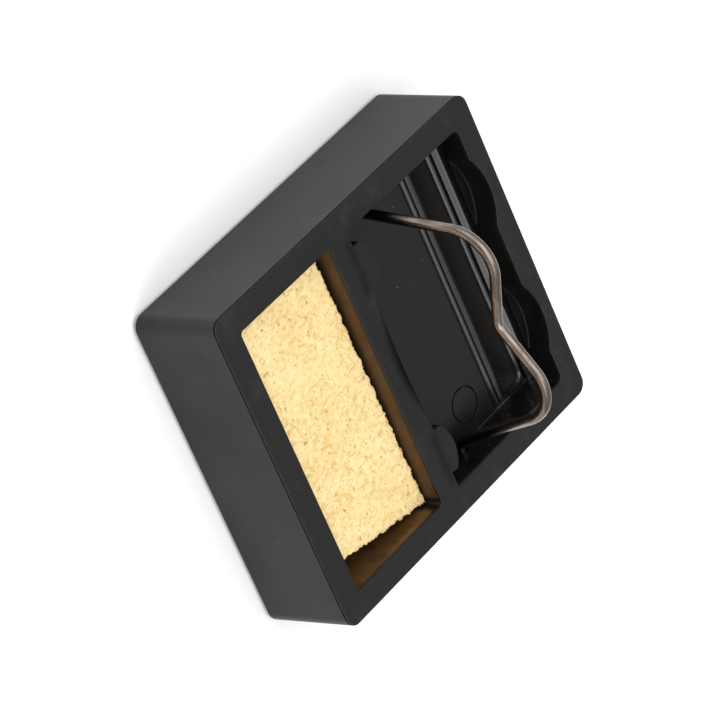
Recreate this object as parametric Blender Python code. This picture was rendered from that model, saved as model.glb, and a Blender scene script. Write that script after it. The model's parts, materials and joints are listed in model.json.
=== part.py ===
"""Soldering iron stand: a moulded tray with a sponge well, a bent-wire iron cradle
that folds into a pocket, a cellulose cleaning sponge and four rubber feet.

Frame: +Z up, +Y to the back, the sponge well at the front. The origin is on the
surface that the feet stand on, below the middle of the tray.
"""

import math

import bmesh
import bpy
from mathutils import Matrix, Vector

MM = 0.001
GAP = 0.3 * MM  # clear space kept between pieces that touch

# Tray: rim size, height and wall
RIM_X = 76.2 * MM
RIM_Y = 88.2 * MM
SKIRT_HEIGHT = 22.5 * MM
DRAFT = 0.4 * MM  # how much wider each side is at the foot of the skirt
CORNER_RADIUS = 2.8 * MM
EDGE_BEVEL = 0.4 * MM
WALL = 1.8 * MM

# Feet: the skirt clears the table by FOOT_PROUD
FOOT_PROUD = 1.0 * MM
FOOT_RADIUS = 4.0 * MM
FOOT_THICKNESS = 2.2 * MM
FOOT_X = 24.4 * MM
FOOT_BACK_Y = 18.0 * MM
FOOT_FRONT_Y = -30.0 * MM
BOSS_RADIUS = 5.4 * MM

BASE_Z = FOOT_PROUD
RIM_Z = BASE_Z + SKIRT_HEIGHT

# Pocket that the cradle folds into, behind the partition
POCKET_X = 32.0 * MM
POCKET_FRONT = -1.0 * MM
POCKET_BACK = 38.4 * MM
POCKET_FLOOR = RIM_Z - 9.5 * MM
SLOT_FRONT = -1.0 * MM  # front of the slots beside the two rests
REST_INNER = 17.6 * MM
REST_OUTER = 28.7 * MM
REST_SIDE_Y = 0.7 * MM
REST_CROWN_Y = 2.8 * MM
SCALLOP_X = 16.1 * MM
SCALLOP_RADIUS = 14.8 * MM
SCALLOP_DEPTH = 2.45 * MM
SCALLOP_LEDGE = RIM_Z - 6.0 * MM

# Trough across the back of the pocket, for the tip of the iron
TROUGH_X = 30.4 * MM
TROUGH_FRONT = 30.1 * MM
TROUGH_BACK = 36.2 * MM
TROUGH_FLOOR = BASE_Z + 3.2 * MM
TROUGH_CORNER = 1.8 * MM

# Low ridges across the pocket floor: centre, half width and height
RIDGES = (
    (26.5 * MM, 0.6 * MM, 0.5 * MM),
    (28.7 * MM, 1.0 * MM, 0.5 * MM),
)

# Sponge well
WELL_X = 32.2 * MM
WELL_FRONT = -37.9 * MM
WELL_BACK = -7.4 * MM
WELL_FLOOR = RIM_Z - 13.0 * MM

# Sponge: a hand-cut pad, so its outline is a slightly uneven four-sided one
SPONGE_TOP = RIM_Z - 4.1 * MM
SPONGE_CORNERS = (
    (-31.2 * MM, -37.2 * MM),
    (27.0 * MM, -37.2 * MM),
    (31.4 * MM, -8.3 * MM),
    (-31.4 * MM, -9.3 * MM),
)

# Wire cradle, in its own plane: across X, and up from its pivot axis
WIRE_RADIUS = 1.2 * MM
PIVOT_Y = 10.65 * MM
PIVOT_Z = RIM_Z - 8.2 * MM
PIVOT_HOLE_RADIUS = 1.5 * MM
WIRE_LEAN = math.radians(6.2)  # back from upright
TOE_END_X = 35.2 * MM
LEG_FOOT_X = 29.3 * MM
SHOULDER_X = 21.65 * MM
SHOULDER_HEIGHT = 31.7 * MM
DIP_HEIGHT = 23.55 * MM
TOE_BEND = 2.2 * MM
SHOULDER_BEND = 9.25 * MM
DIP_BEND = 4.1 * MM


def clear_scene():
    for obj in list(bpy.data.objects):
        bpy.data.objects.remove(obj, do_unlink=True)


def material(name, colour, roughness, metallic=0.0):
    made = bpy.data.materials.new(name)
    made.use_nodes = True
    shader = made.node_tree.nodes["Principled BSDF"]
    shader.inputs["Base Color"].default_value = (*colour, 1.0)
    shader.inputs["Roughness"].default_value = roughness
    shader.inputs["Metallic"].default_value = metallic
    return made


def place(name, mesh, finish=None):
    obj = bpy.data.objects.new(name, mesh)
    bpy.context.scene.collection.objects.link(obj)
    if finish:
        mesh.materials.append(finish)
    return obj


def loft(name, rings, finish=None):
    """A closed solid through rings of equal point counts, from the lowest ring to the highest."""
    shape = bmesh.new()
    loops = [[shape.verts.new(point) for point in ring] for ring in rings]
    count = len(rings[0])
    for low, high in zip(loops, loops[1:]):
        for i in range(count):
            j = (i + 1) % count
            shape.faces.new((low[i], low[j], high[j], high[i]))
    shape.faces.new(loops[0][::-1])
    shape.faces.new(loops[-1])
    bmesh.ops.recalc_face_normals(shape, faces=shape.faces)
    mesh = bpy.data.meshes.new(name)
    shape.to_mesh(mesh)
    shape.free()
    return place(name, mesh, finish)


def prism(name, outline, low, high):
    """An upright solid between two heights."""
    return loft(name, [[(x, y, z) for x, y in outline] for z in (low, high)])


def rectangle(x0, y0, x1, y1):
    return [(x0, y0), (x1, y0), (x1, y1), (x0, y1)]


def arc(cx, cy, radius, start, end, steps):
    """Points along an arc, angles in degrees."""
    angles = [math.radians(start + (end - start) * i / steps) for i in range(steps + 1)]
    return [(cx + radius * math.cos(a), cy + radius * math.sin(a)) for a in angles]


def rounded_rectangle(half_x, half_y, radius, steps=6):
    outline = []
    for turn, (sx, sy) in enumerate(((1, 1), (-1, 1), (-1, -1), (1, -1))):
        centre = (sx * (half_x - radius), sy * (half_y - radius))
        outline += arc(*centre, radius, 90 * turn, 90 * turn + 90, steps)
    return outline


def cylinder(name, centre, radius, length, axis="Z", sides=32, finish=None):
    shape = bmesh.new()
    bmesh.ops.create_cone(
        shape, cap_ends=True, segments=sides, radius1=radius, radius2=radius, depth=length
    )
    if axis == "X":
        bmesh.ops.rotate(shape, verts=shape.verts, matrix=Matrix.Rotation(math.pi / 2, 3, "Y"))
    bmesh.ops.translate(shape, verts=shape.verts, vec=centre)
    mesh = bpy.data.meshes.new(name)
    shape.to_mesh(mesh)
    shape.free()
    return place(name, mesh, finish)


def combine(target, other, operation):
    """Joins a helper into the target, or cuts it away, and hides the helper."""
    modifier = target.modifiers.new(other.name, "BOOLEAN")
    modifier.operation = operation
    modifier.object = other
    other.hide_render = True
    other.display_type = "WIRE"


def crown(sign):
    """The rounded front of one rest, from its low-X side to its high-X side."""
    middle = sign * (REST_INNER + REST_OUTER) / 2
    half = (REST_OUTER - REST_INNER) / 2
    rise = REST_CROWN_Y - REST_SIDE_Y
    radius = (half * half + rise * rise) / (2 * rise)
    spread = math.degrees(math.asin(half / radius))
    return arc(middle, REST_CROWN_Y - radius, radius, 90 + spread, 90 - spread, 8)


def pocket_outline():
    """The pocket seen from above: straight sides, with two rounded rests in its front side."""
    front = [(-POCKET_X, SLOT_FRONT), (-REST_OUTER, SLOT_FRONT)]
    front += crown(-1)
    front += [(-REST_INNER, POCKET_FRONT), (REST_INNER, POCKET_FRONT)]
    front += crown(1)
    front += [(REST_OUTER, SLOT_FRONT), (POCKET_X, SLOT_FRONT)]
    return front + [(POCKET_X, POCKET_BACK), (-POCKET_X, POCKET_BACK)]


def tray_outside():
    """The drafted outside of the tray, with its rim edge eased."""
    half_x, half_y = RIM_X / 2, RIM_Y / 2
    levels = (
        (BASE_Z, DRAFT),
        (RIM_Z - EDGE_BEVEL, 0.0),
        (RIM_Z - 0.3 * EDGE_BEVEL, -0.3 * EDGE_BEVEL),
        (RIM_Z, -EDGE_BEVEL),
    )
    rings = []
    for z, grow in levels:
        outline = rounded_rectangle(half_x + grow, half_y + grow, CORNER_RADIUS + grow)
        rings.append([(x, y, z) for x, y in outline])
    return rings


def make_tray(finish):
    """One moulding: skirt and deck, with the pocket and the well hung from the deck."""
    tray = loft("base_tray", tray_outside(), finish)
    over = RIM_Z + 5 * MM
    under = BASE_Z - 5 * MM

    inner = rounded_rectangle(RIM_X / 2 - WALL, RIM_Y / 2 - WALL, CORNER_RADIUS / 2)
    combine(tray, prism("cut_underside", inner, under, RIM_Z - WALL), "DIFFERENCE")

    join_top = RIM_Z - WALL / 2
    pocket = rectangle(-POCKET_X - WALL, POCKET_FRONT - WALL, POCKET_X + WALL, POCKET_BACK + WALL)
    combine(tray, prism("join_pocket", pocket, POCKET_FLOOR - WALL, join_top), "UNION")
    jacket = (-TROUGH_X - WALL, TROUGH_FRONT - WALL, TROUGH_X + WALL, TROUGH_BACK + WALL)
    low = TROUGH_FLOOR - WALL
    combine(tray, prism("join_trough", rectangle(*jacket), low, POCKET_FLOOR - WALL / 2), "UNION")
    well = rectangle(-WELL_X - WALL, WELL_FRONT - WALL, WELL_X + WALL, WELL_BACK + WALL)
    combine(tray, prism("join_well", well, WELL_FLOOR - WALL, join_top), "UNION")

    scallop_y = POCKET_BACK + SCALLOP_DEPTH - SCALLOP_RADIUS
    for side, sign in (("left", -1), ("right", 1)):
        backing = cylinder(
            f"join_scallop_{side}",
            (sign * SCALLOP_X, scallop_y, (SCALLOP_LEDGE - WALL + join_top) / 2),
            SCALLOP_RADIUS + WALL,
            join_top - SCALLOP_LEDGE + WALL,
            sides=96,
        )
        combine(tray, backing, "UNION")

    combine(tray, prism("cut_pocket", pocket_outline(), POCKET_FLOOR, over), "DIFFERENCE")
    trough = rounded_rectangle(TROUGH_X, (TROUGH_BACK - TROUGH_FRONT) / 2, TROUGH_CORNER)
    trough_y = (TROUGH_FRONT + TROUGH_BACK) / 2
    trough = [(x, y + trough_y) for x, y in trough]
    combine(tray, prism("cut_trough", trough, TROUGH_FLOOR, over), "DIFFERENCE")
    well_hole = rectangle(-WELL_X, WELL_FRONT, WELL_X, WELL_BACK)
    combine(tray, prism("cut_well", well_hole, WELL_FLOOR, over), "DIFFERENCE")

    for side, sign in (("left", -1), ("right", 1)):
        scallop = cylinder(
            f"cut_scallop_{side}",
            (sign * SCALLOP_X, scallop_y, (SCALLOP_LEDGE + over) / 2),
            SCALLOP_RADIUS,
            over - SCALLOP_LEDGE,
            sides=96,
        )
        combine(tray, scallop, "DIFFERENCE")
        hole_x = sign * (POCKET_X + WALL / 2)
        hole = cylinder(
            f"cut_pivot_{side}",
            (hole_x, PIVOT_Y, PIVOT_Z),
            PIVOT_HOLE_RADIUS,
            2 * WALL,
            axis="X",
            sides=24,
        )
        combine(tray, hole, "DIFFERENCE")
        core_x = sign * (REST_INNER + REST_OUTER) / 2
        core_half = (REST_OUTER - REST_INNER) / 2 - WALL
        core = rectangle(core_x - core_half, POCKET_FRONT - WALL / 2, core_x + core_half, REST_SIDE_Y)
        combine(tray, prism(f"cut_core_{side}", core, under, RIM_Z - WALL), "DIFFERENCE")

    for index, (y, half, height) in enumerate(RIDGES):
        combine(tray, make_ridge(f"join_ridge_{index}", y, half, height), "UNION")
    for label, x, y, floor in foot_places():
        boss_low = BASE_Z + FOOT_THICKNESS - FOOT_PROUD + GAP
        boss_high = floor - WALL / 2
        boss = cylinder(
            f"join_boss_{label}", (x, y, (boss_low + boss_high) / 2), BOSS_RADIUS, boss_high - boss_low
        )
        combine(tray, boss, "UNION")
    return tray


def make_ridge(name, y, half, height):
    """A low ridge with a flat-topped, sloping-sided section, from wall to wall of the pocket."""
    low = POCKET_FLOOR - WALL / 2
    reach = POCKET_X + WALL / 2
    top = POCKET_FLOOR + height
    right_side = [(half, low), (half, POCKET_FLOOR), (half / 2, top)]
    left_side = [(-half / 2, top), (-half, POCKET_FLOOR), (-half, low)]
    section = right_side + left_side
    rings = [[(x, y + dy, z) for dy, z in section] for x in (-reach, reach)]
    return loft(name, rings)


def foot_places():
    """Name, place and the floor above it, for each foot."""
    places = []
    for row, y, floor in (("front", FOOT_FRONT_Y, WELL_FLOOR), ("rear", FOOT_BACK_Y, POCKET_FLOOR)):
        for side, sign in (("left", -1), ("right", 1)):
            places.append((f"{row}_{side}", sign * FOOT_X, y, floor))
    return places


def make_feet(finish):
    """Four rubber discs stuck under the bosses, each with an eased lower edge."""
    ease = 0.4 * MM
    for label, x, y, _ in foot_places():
        rings = []
        for z, shrink in ((0.0, ease), (ease, 0.0), (FOOT_THICKNESS, 0.0)):
            outline = arc(x, y, FOOT_RADIUS - shrink, 0, 360, 32)[:-1]
            rings.append([(px, py, z) for px, py in outline])
        loft(f"foot_{label}", rings, finish)


def make_sponge(finish):
    """The pad as a plain solid, eased along its edges."""
    ease = 0.5 * MM
    middle = Vector((0.0, (WELL_FRONT + WELL_BACK) / 2))
    low = WELL_FLOOR + GAP
    rings = []
    for z, shrink in ((low, ease), (low + ease, 0.0), (SPONGE_TOP - ease, 0.0), (SPONGE_TOP, ease)):
        ring = []
        for corner in SPONGE_CORNERS:
            inward = (middle - Vector(corner)).normalized() * shrink
            ring.append((corner[0] + inward.x, corner[1] + inward.y, z))
        rings.append(ring)
    return loft("sponge", rings, finish)


def fillet(before, corner, after, radius, steps):
    """Points that round a corner of the wire's centreline."""
    into = (before - corner).normalized()
    out = (after - corner).normalized()
    half_angle = into.angle(out) / 2
    setback = radius / math.tan(half_angle)
    centre = corner + (into + out).normalized() * (radius / math.sin(half_angle))
    start = corner + into * setback - centre
    end = corner + out * setback - centre
    first = math.atan2(start.y, start.x)
    turn = math.remainder(math.atan2(end.y, end.x) - first, 2 * math.pi)
    angles = [first + turn * i / steps for i in range(steps + 1)]
    return [centre + radius * Vector((math.cos(a), math.sin(a))) for a in angles]


def wire_centreline():
    """The cradle's line in its own plane, from the left toe to the right toe: X across, Y up."""
    half = [
        (Vector((TOE_END_X, 0.0)), 0.0, 0),
        (Vector((LEG_FOOT_X, 0.0)), TOE_BEND, 6),
        (Vector((SHOULDER_X, SHOULDER_HEIGHT)), SHOULDER_BEND, 10),
    ]
    corners = [(Vector((-p.x, p.y)), r, n) for p, r, n in half]
    corners.append((Vector((0.0, DIP_HEIGHT)), DIP_BEND, 8))
    corners += half[::-1]
    points = [corners[0][0]]
    for (before, _, _), (corner, radius, steps), (after, _, _) in zip(corners, corners[1:], corners[2:]):
        points += fillet(before, corner, after, radius, steps)
    return points + [corners[-1][0]]


def make_cradle(finish):
    """The bent wire, leaning back from upright, with its origin on its pivot axis."""
    lean = Vector((0.0, math.sin(WIRE_LEAN), math.cos(WIRE_LEAN)))
    curve = bpy.data.curves.new("wire_cradle", "CURVE")
    curve.dimensions = "3D"
    curve.bevel_depth = WIRE_RADIUS
    curve.bevel_resolution = 4
    curve.use_fill_caps = True
    line = wire_centreline()
    spline = curve.splines.new("POLY")
    spline.points.add(len(line) - 1)
    for point, place_in_plane in zip(spline.points, line):
        position = Vector((place_in_plane.x, 0.0, 0.0)) + lean * place_in_plane.y
        point.co = (*position, 1.0)
    cradle = place("wire_cradle", curve, finish)
    cradle.location = (0.0, PIVOT_Y, PIVOT_Z)
    return cradle


def main():
    clear_scene()
    black_plastic = material("black_plastic", (0.035, 0.035, 0.035), 0.35)
    steel_wire = material("steel_wire", (0.45, 0.41, 0.38), 0.35, 1.0)
    yellow_sponge = material("yellow_sponge", (0.85, 0.68, 0.32), 0.95)
    black_rubber = material("black_rubber", (0.03, 0.03, 0.03), 0.8)
    make_tray(black_plastic)
    make_feet(black_rubber)
    make_sponge(yellow_sponge)
    make_cradle(steel_wire)


main()
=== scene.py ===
"""The looks of a small soldering iron stand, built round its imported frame.

Everything is in metres, with +Z up, +Y to the back and the sponge well in front. The tray is
cut from closed solids, the cradle is a round section carried along a bent line, and the sponge
is a height field with torn sides.
"""

import json
import math

import bpy
import numpy as np
from bpy.props import FloatProperty, FloatVectorProperty, PointerProperty
from mathutils import Matrix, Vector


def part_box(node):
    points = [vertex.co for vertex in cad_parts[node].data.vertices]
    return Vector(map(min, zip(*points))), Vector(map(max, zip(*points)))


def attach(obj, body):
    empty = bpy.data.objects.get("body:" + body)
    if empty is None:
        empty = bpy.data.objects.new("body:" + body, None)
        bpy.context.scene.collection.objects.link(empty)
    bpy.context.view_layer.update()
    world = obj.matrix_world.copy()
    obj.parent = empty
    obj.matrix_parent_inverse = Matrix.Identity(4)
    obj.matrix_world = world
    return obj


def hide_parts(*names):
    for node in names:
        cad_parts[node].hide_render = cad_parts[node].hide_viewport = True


bl_info = {
    "name": "Soldering Iron Stand",
    "version": (1, 0, 0),
    "blender": (4, 5, 0),
    "location": "View3D > Sidebar > Iron Stand",
    "description": "Builds a tray with a folding wire cradle and a cleaning sponge",
    "category": "Add Mesh",
}

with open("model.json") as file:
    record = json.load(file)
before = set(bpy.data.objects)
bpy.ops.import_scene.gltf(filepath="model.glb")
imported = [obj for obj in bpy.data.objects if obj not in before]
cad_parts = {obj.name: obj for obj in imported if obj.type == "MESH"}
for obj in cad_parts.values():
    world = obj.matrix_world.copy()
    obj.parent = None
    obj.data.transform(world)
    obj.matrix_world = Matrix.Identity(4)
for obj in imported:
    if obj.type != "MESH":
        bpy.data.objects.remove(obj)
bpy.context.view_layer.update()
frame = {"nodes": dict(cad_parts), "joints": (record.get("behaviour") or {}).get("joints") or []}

MM = 0.001
TAU = 2 * math.pi
SHARP = math.radians(32)

TRAY_LOW, TRAY_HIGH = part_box("base_tray")
SPONGE_LOW, SPONGE_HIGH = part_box("sponge")
WIRE_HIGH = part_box("wire_cradle")[1]
FOOT_LOW, FOOT_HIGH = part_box("foot_front_right")
FOLD = next(joint for joint in frame["joints"] if joint["name"] == "cradle_fold")
PIVOT = list(FOLD["pos_m"])
RIM_Z = TRAY_HIGH.z
BASE_Z = TRAY_LOW.z

# The hollows' sides and floors, the two ends of each rounded rest, and half the width of the
# scoop in the partition's top.
POCKET_X = 32.0 * MM
POCKET_FRONT = -1.0 * MM
POCKET_BACK = 38.4 * MM
POCKET_FLOOR = RIM_Z - 9.5 * MM
WELL_FLOOR = RIM_Z - 13.0 * MM
SCALLOP_FLOOR = RIM_Z - 6.0 * MM
SCALLOP_X, SCALLOP_Y, SCALLOP_RADIUS = 16.1 * MM, 26.05 * MM, 14.8 * MM
REST_INNER, REST_OUTER = 17.6 * MM, 28.7 * MM
SCOOP_REACH = 17.5 * MM


# ---------------------------------------------------------------- sizes and colours


def length(name, default, description):
    """A length that a user may change, in metres."""
    return FloatProperty(
        name=name, description=description, default=default, min=0.0, unit="LENGTH", precision=5
    )


def colour(name, default, description):
    return FloatVectorProperty(
        name=name, description=description, default=default, size=3, min=0, max=1, subtype="COLOR"
    )


def amount(name, default, description, high=1.0):
    return FloatProperty(name=name, description=description, default=default, min=0.0, max=high)


class TraySizes(bpy.types.PropertyGroup):
    """The moulded tray."""

    draft: length("Draft", 0.4 * MM, "How much wider each side is at the foot")
    corner: length("Corner radius", 2.8 * MM, "Radius of the upright outside corners")
    wall: length("Wall", 1.8 * MM, "Thickness of the moulding")
    rim_round: length("Rim rounding", 0.2 * MM, "Radius along the outside of the rim")
    mouth_round: length("Mouth rounding", 0.3 * MM, "Radius along the edges of the hollows")
    plastic: colour("Plastic", (0.0055, 0.0053, 0.005), "Colour of the plastic")
    outside_roughness: amount("Outside roughness", 0.42, "Satin of the outside")
    inside_roughness: amount("Inside roughness", 0.28, "Gloss of the hollows")


class CradleSizes(bpy.types.PropertyGroup):
    """The bent wire."""

    wire_radius: length("Wire radius", 1.19 * MM, "Half the thickness of the wire")
    steel: colour("Steel", (0.25, 0.213, 0.187), "Colour of the bare wire")
    tarnish: colour("Tarnish", (0.1, 0.07, 0.054), "Colour of the browned patches")


class SpongeSizes(bpy.types.PropertyGroup):
    """The cleaning sponge."""

    torn: length("Torn edge", 0.5 * MM, "How far the torn edges wander")
    relief: length("Relief", 0.3 * MM, "Depth of the pores and flakes in the face")
    pale: colour("Pale", (0.87, 0.67, 0.345), "Colour of the dry face")
    golden: colour("Golden", (0.62, 0.37, 0.085), "Colour of the veins")
    speck: colour("Speck", (0.2, 0.14, 0.04), "Colour of the specks and deep pores")


class FootSizes(bpy.types.PropertyGroup):
    """The rubber feet."""

    rubber: colour("Rubber", (0.018, 0.018, 0.018), "Colour of the rubber")


class StageSizes(bpy.types.PropertyGroup):
    """Floor, lights and camera."""

    floor: colour("Floor", (0.88, 0.88, 0.88), "Colour of the floor")
    sky: amount("Sky", 0.68, "Strength of the light from all round", 10)
    key: amount("Key light", 6.5, "Power of the large light overhead, in watts", 1000)
    side: amount("Side light", 1.5, "Power of the light at the side, in watts", 1000)
    front: amount("Front light", 2.0, "Power of the light at the front, in watts", 1000)


class StandSizes(bpy.types.PropertyGroup):
    """All of the stand's sizes and colours."""

    tray: PointerProperty(type=TraySizes)
    cradle: PointerProperty(type=CradleSizes)
    sponge: PointerProperty(type=SpongeSizes)
    foot: PointerProperty(type=FootSizes)
    stage: PointerProperty(type=StageSizes)


# ---------------------------------------------------------------- repeatable roughness


def cell_numbers(cells, seed):
    """A number from 0 to 1 for each whole-number cell: its coordinates are multiplied by large
    primes, mixed bit by bit and cut to 24 bits, so that it is the same on every run."""
    x, y, z = np.moveaxis(cells.astype(np.int64), -1, 0)
    mixed = (x * 73856093) ^ (y * 19349663) ^ (z * 83492791) ^ (seed * 2654435761)
    mixed = (mixed & 0xFFFFFFFF) * 668265263 & 0xFFFFFFFF
    mixed = (mixed ^ (mixed >> 15)) * 374761393 & 0xFFFFFFFF
    return ((mixed ^ (mixed >> 13)) & 0xFFFFFF) / 0xFFFFFF


def lumps(points, seed):
    """Smooth noise from -1 to 1: the numbers at a cell's eight corners, blended by
    3t^2 - 2t^3 along each axis."""
    cell = np.floor(points)
    t = points - cell
    t = t * t * (3 - 2 * t)
    total = np.zeros(points.shape[:-1])
    for corner in np.ndindex(2, 2, 2):
        share = np.prod(np.where(np.array(corner) == 1, t, 1 - t), axis=-1)
        total += share * cell_numbers(cell + corner, seed)
    return 2 * total - 1


def layered(points, seed, layers=4):
    """Noise in layers, each twice as fine and half as strong as the last."""
    return sum(lumps(points * 2**k + 17.3 * k, seed + k) / 2**k for k in range(layers))


def nearest_seed(points, seed):
    """Distance to the nearest of the seeds that lie one to a cell, each at a random place in its
    cell, and that seed's own random number."""
    cell = np.floor(points)
    best = np.full(points.shape[:-1], 9.0)
    number = np.zeros(points.shape[:-1])
    for offset in np.ndindex(3, 3, 3):
        there = cell + np.array(offset) - 1
        spot = there + np.stack([cell_numbers(there, seed + k) for k in range(3)], axis=-1)
        distance = np.linalg.norm(points - spot, axis=-1)
        closer = distance < best
        best = np.where(closer, distance, best)
        number = np.where(closer, cell_numbers(there, seed + 7), number)
    return best, number


def ease(low, high, value):
    """0 below low, 1 above high, and 3t^2 - 2t^3 between them."""
    t = np.clip((value - low) / (high - low), 0, 1)
    return t * t * (3 - 2 * t)


# ---------------------------------------------------------------- outlines and profiles


def arc(cx, cy, radius, start, end, steps):
    """Points (cx + radius cos a, cy + radius sin a) for steps + 1 even angles a, in degrees."""
    a = np.radians(np.linspace(start, end, steps + 1))
    return np.stack([cx + radius * np.cos(a), cy + radius * np.sin(a)], axis=-1)


def rounded_box(x0, y0, x1, y1, radius, steps=8):
    """A rectangle with a quarter circle at each corner, anticlockwise."""
    centres = ((x1 - radius, y1 - radius, 0), (x0 + radius, y1 - radius, 90),
               (x0 + radius, y0 + radius, 180), (x1 - radius, y0 + radius, 270))
    return np.concatenate([arc(cx, cy, radius, a, a + 90, steps) for cx, cy, a in centres])


def mitres(outline):
    """For each corner of a closed outline, the outward step that moves both its edges out by
    one: the sum of the two edge normals over one plus their dot product."""
    edge = np.roll(outline, -1, axis=0) - outline
    normal = np.stack([edge[:, 1], -edge[:, 0]], axis=-1)
    normal /= np.linalg.norm(normal, axis=-1, keepdims=True)
    before = np.roll(normal, 1, axis=0)
    return (normal + before) / (1 + np.sum(normal * before, axis=-1, keepdims=True))


def grid_faces(rows, columns, wrap_rows=False, wrap_columns=True):
    """Four corner indices for each square of a grid, joined round where it wraps."""
    i, j = np.meshgrid(
        np.arange(rows if wrap_rows else rows - 1),
        np.arange(columns if wrap_columns else columns - 1),
        indexing="ij",
    )
    i, j = i.ravel(), j.ravel()
    up, on = (i + 1) % rows, (j + 1) % columns
    corners = (i * columns + j, i * columns + on, up * columns + on, up * columns + j)
    return np.stack(corners, axis=-1)


def new_mesh(name, points, faces):
    """A mesh whose faces look outwards: they are turned over where the volume they enclose, the
    sum of a . (b x c) / 6 over its triangles, comes out below zero."""
    mesh = bpy.data.meshes.new(name)
    mesh.from_pydata(points.reshape(-1, 3).tolist(), [], faces)
    mesh.validate()
    mesh.calc_loop_triangles()
    corners = np.zeros(3 * len(mesh.loop_triangles), dtype=np.int32)
    mesh.loop_triangles.foreach_get("vertices", corners)
    a, b, c = np.moveaxis(points.reshape(-1, 3)[corners.reshape(-1, 3)], 1, 0)
    if np.sum(a * np.cross(b, c)) < 0:
        mesh.flip_normals()
    mesh.update()
    return mesh


def new_object(name, mesh):
    obj = bpy.data.objects.new(name, mesh)
    bpy.context.scene.collection.objects.link(obj)
    return obj


def raised(name, outline, profile):
    """A closed solid from an outline carried up a profile of (out, height) steps: the point for
    outline corner j and step i is outline(j) + out(i) * mitre(j), at height(i). A profile may
    also give its own out and height for each corner, as steps by corners by 2."""
    profile = np.array(profile)
    if profile.ndim == 2:
        profile = profile[:, None]
    flat = outline[None] + profile[..., :1] * mitres(outline)[None]
    tall = np.broadcast_to(profile[..., 1:], flat.shape[:2] + (1,))
    points = np.concatenate([flat, tall], axis=-1)
    rows, columns = len(profile), len(outline)
    faces = grid_faces(rows, columns).tolist()
    faces.append(list(range(columns))[::-1])
    faces.append([(rows - 1) * columns + j for j in range(columns)])
    return new_object(name, new_mesh(name, points, faces))


def drawn_across(name, section, reach):
    """A closed solid from a section in (y, z), anticlockwise as +X looks at it, carried from
    -reach to +reach along X."""
    points = np.zeros((2, len(section), 3))
    points[..., 1:] = section
    points[0, :, 0], points[1, :, 0] = -reach, reach
    columns = len(section)
    faces = grid_faces(2, columns).tolist()
    faces += [list(range(columns))[::-1], [columns + j for j in range(columns)]]
    return new_object(name, new_mesh(name, points, faces))


def ring(name, centre, radius, section, steps=64):
    """A closed ring: a section of (out, height) steps carried round a circle, so the point at
    angle a is ((radius + out) cos a, (radius + out) sin a, height), moved to the centre."""
    a = np.linspace(0, TAU, steps, endpoint=False)[:, None]
    out = (radius + section[:, 0])[None]
    height = np.broadcast_to(section[:, 1], (steps, len(section)))
    points = np.stack([centre[0] + out * np.cos(a), centre[1] + out * np.sin(a), height], axis=-1)
    return new_object(name, new_mesh(name, points, grid_faces(steps, len(section), True).tolist()))


def rod(name, low, high, y, z, radius, sides=40):
    """A closed cylinder along X from low to high."""
    outline = arc(y, z, radius, 0, 360, sides)[:-1]
    solid = drawn_across(name, outline, (high - low) / 2)
    solid.data.transform(Matrix.Translation(((low + high) / 2, 0, 0)))
    return solid


# ---------------------------------------------------------------- finished pieces


def cut_and_joined(body, steps):
    """Applies each (solid, operation) to the body in turn, and removes the helper solids."""
    for solid, operation in steps:
        modifier = body.modifiers.new(solid.name, "BOOLEAN")
        modifier.operation, modifier.solver, modifier.object = operation, "EXACT", solid
        solid.hide_render = True
    result = applied(body)
    for solid, _ in steps:
        bpy.data.objects.remove(solid)
    return result


def applied(obj):
    """Replaces an object's mesh by what its modifiers make of it."""
    bpy.context.view_layer.update()
    graph = bpy.context.evaluated_depsgraph_get()
    made = bpy.data.meshes.new_from_object(obj.evaluated_get(graph))
    obj.modifiers.clear()
    obj.data = made
    return obj


def shaded(obj, angle=SHARP):
    """Smooth shading that breaks at edges sharper than the angle."""
    obj.data.shade_smooth()
    obj.data.set_sharp_from_angle(angle=angle)
    return obj


def flats_kept_flat(obj):
    """Turns each shared normal towards its larger face, so flats next to a rounding stay flat."""
    modifier = obj.modifiers.new("flats", "WEIGHTED_NORMAL")
    modifier.keep_sharp = True
    modifier.weight = 100
    return applied(obj)


def fitted(obj, material, body, slot, *nodes):
    """Gives a piece its finish and its body, and hides the CAD nodes that it stands for."""
    obj.data.materials.clear()
    obj.data.materials.append(material)
    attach(obj, body)
    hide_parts(*nodes)
    return obj


def vector_attribute(mesh, name, values):
    mesh.attributes.new(name, "FLOAT_VECTOR", "POINT").data.foreach_set("vector", values.ravel())


# ---------------------------------------------------------------- shader maths


class Signal:
    """One socket's value, so that shader maths can be written as Python expressions."""

    def __init__(self, finish, socket):
        self.finish, self.socket = finish, socket

    def _with(self, operation, first, second):
        return self.finish.node("ShaderNodeMath", {"operation": operation}, {0: first, 1: second})

    def __add__(self, other):
        return self._with("ADD", self, other)

    def __sub__(self, other):
        return self._with("SUBTRACT", self, other)

    def __rsub__(self, other):
        return self._with("SUBTRACT", other, self)

    def __mul__(self, other):
        return self._with("MULTIPLY", self, other)

    def __truediv__(self, other):
        return self._with("DIVIDE", self, other)

    def __pow__(self, other):
        return self._with("POWER", self, other)

    __radd__ = __add__
    __rmul__ = __mul__


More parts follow.
